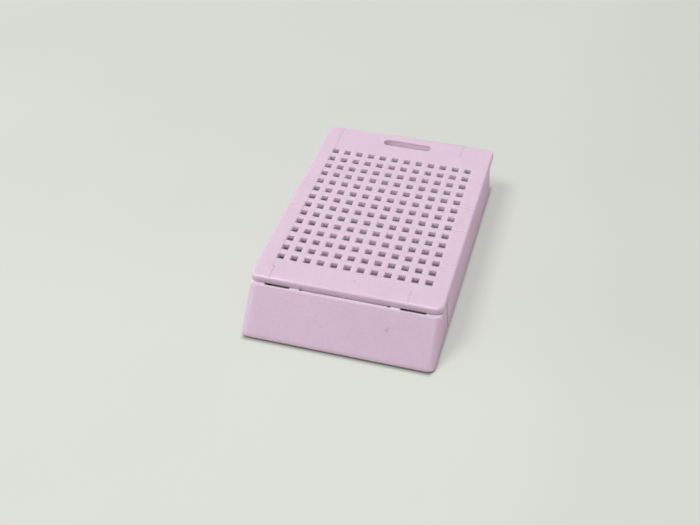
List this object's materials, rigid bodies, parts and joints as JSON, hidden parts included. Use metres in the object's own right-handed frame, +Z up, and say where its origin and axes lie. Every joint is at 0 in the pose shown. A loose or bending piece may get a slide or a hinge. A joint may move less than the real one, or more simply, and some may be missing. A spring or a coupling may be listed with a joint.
{
  "type": "tissue cassette",
  "caption": "Shallow perforated plastic tray with a slanted writing panel and a perforated snap-fit lid that swings up about its front hooks.",
  "frame": {"origin": "on the underside, in the middle of the length and width", "axes": "+Z up through the lid, +Y to the rear edge with the latch, +X to the right seen from the writing panel"},
  "size_m": [0.0286, 0.0414, 0.0066],
  "materials": {
    "base_acetal": "lilac acetal, fine matt moulded surface",
    "lid_acetal": "lilac acetal, fine matt moulded surface"
  },
  "bodies": {
    "base_body": {"base": "base_acetal"},
    "lid_body": {"lid": "lid_acetal"}
  },
  "joints": [
    {"name": "lid_hinge", "type": "hinge", "parent": "base_body", "child": "lid_body", "pos_m": [0, -0.01498, 0.0056], "axis": [1, 0, 0], "range_deg": [0, 90]}
  ]
}
